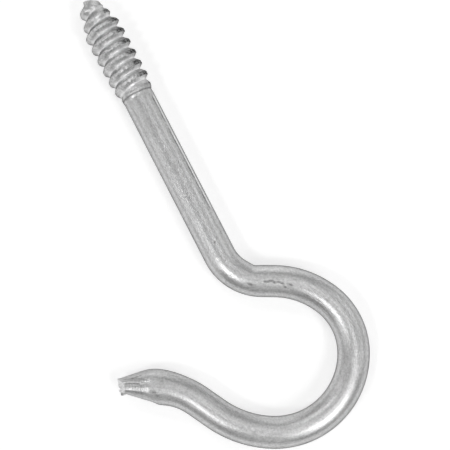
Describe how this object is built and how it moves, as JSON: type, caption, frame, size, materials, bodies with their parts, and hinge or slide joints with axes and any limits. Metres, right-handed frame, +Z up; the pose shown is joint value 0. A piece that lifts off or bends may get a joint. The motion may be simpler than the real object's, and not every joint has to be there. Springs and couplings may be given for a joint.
{
  "type": "screw hook",
  "caption": "Zinc-plated steel wire screw hook: an open round hook on a straight shank with a rolled wood-screw thread and a pinched, cut tip.",
  "frame": {"origin": "on the floor, under the middle of the outline seen from above", "axes": "+X along the shank towards the screw point, +Y towards the side that the hook's tip is on, +Z up, square to the plane of the hook"},
  "size_m": [0.1256, 0.0616, 0.0102],
  "materials": {
    "zinc_plated_steel": "bright zinc plating, satin, lightly mottled, with drawing lines along the wire"
  },
  "bodies": {
    "root": {"screw_hook": "zinc_plated_steel"}
  },
  "joints": []
}
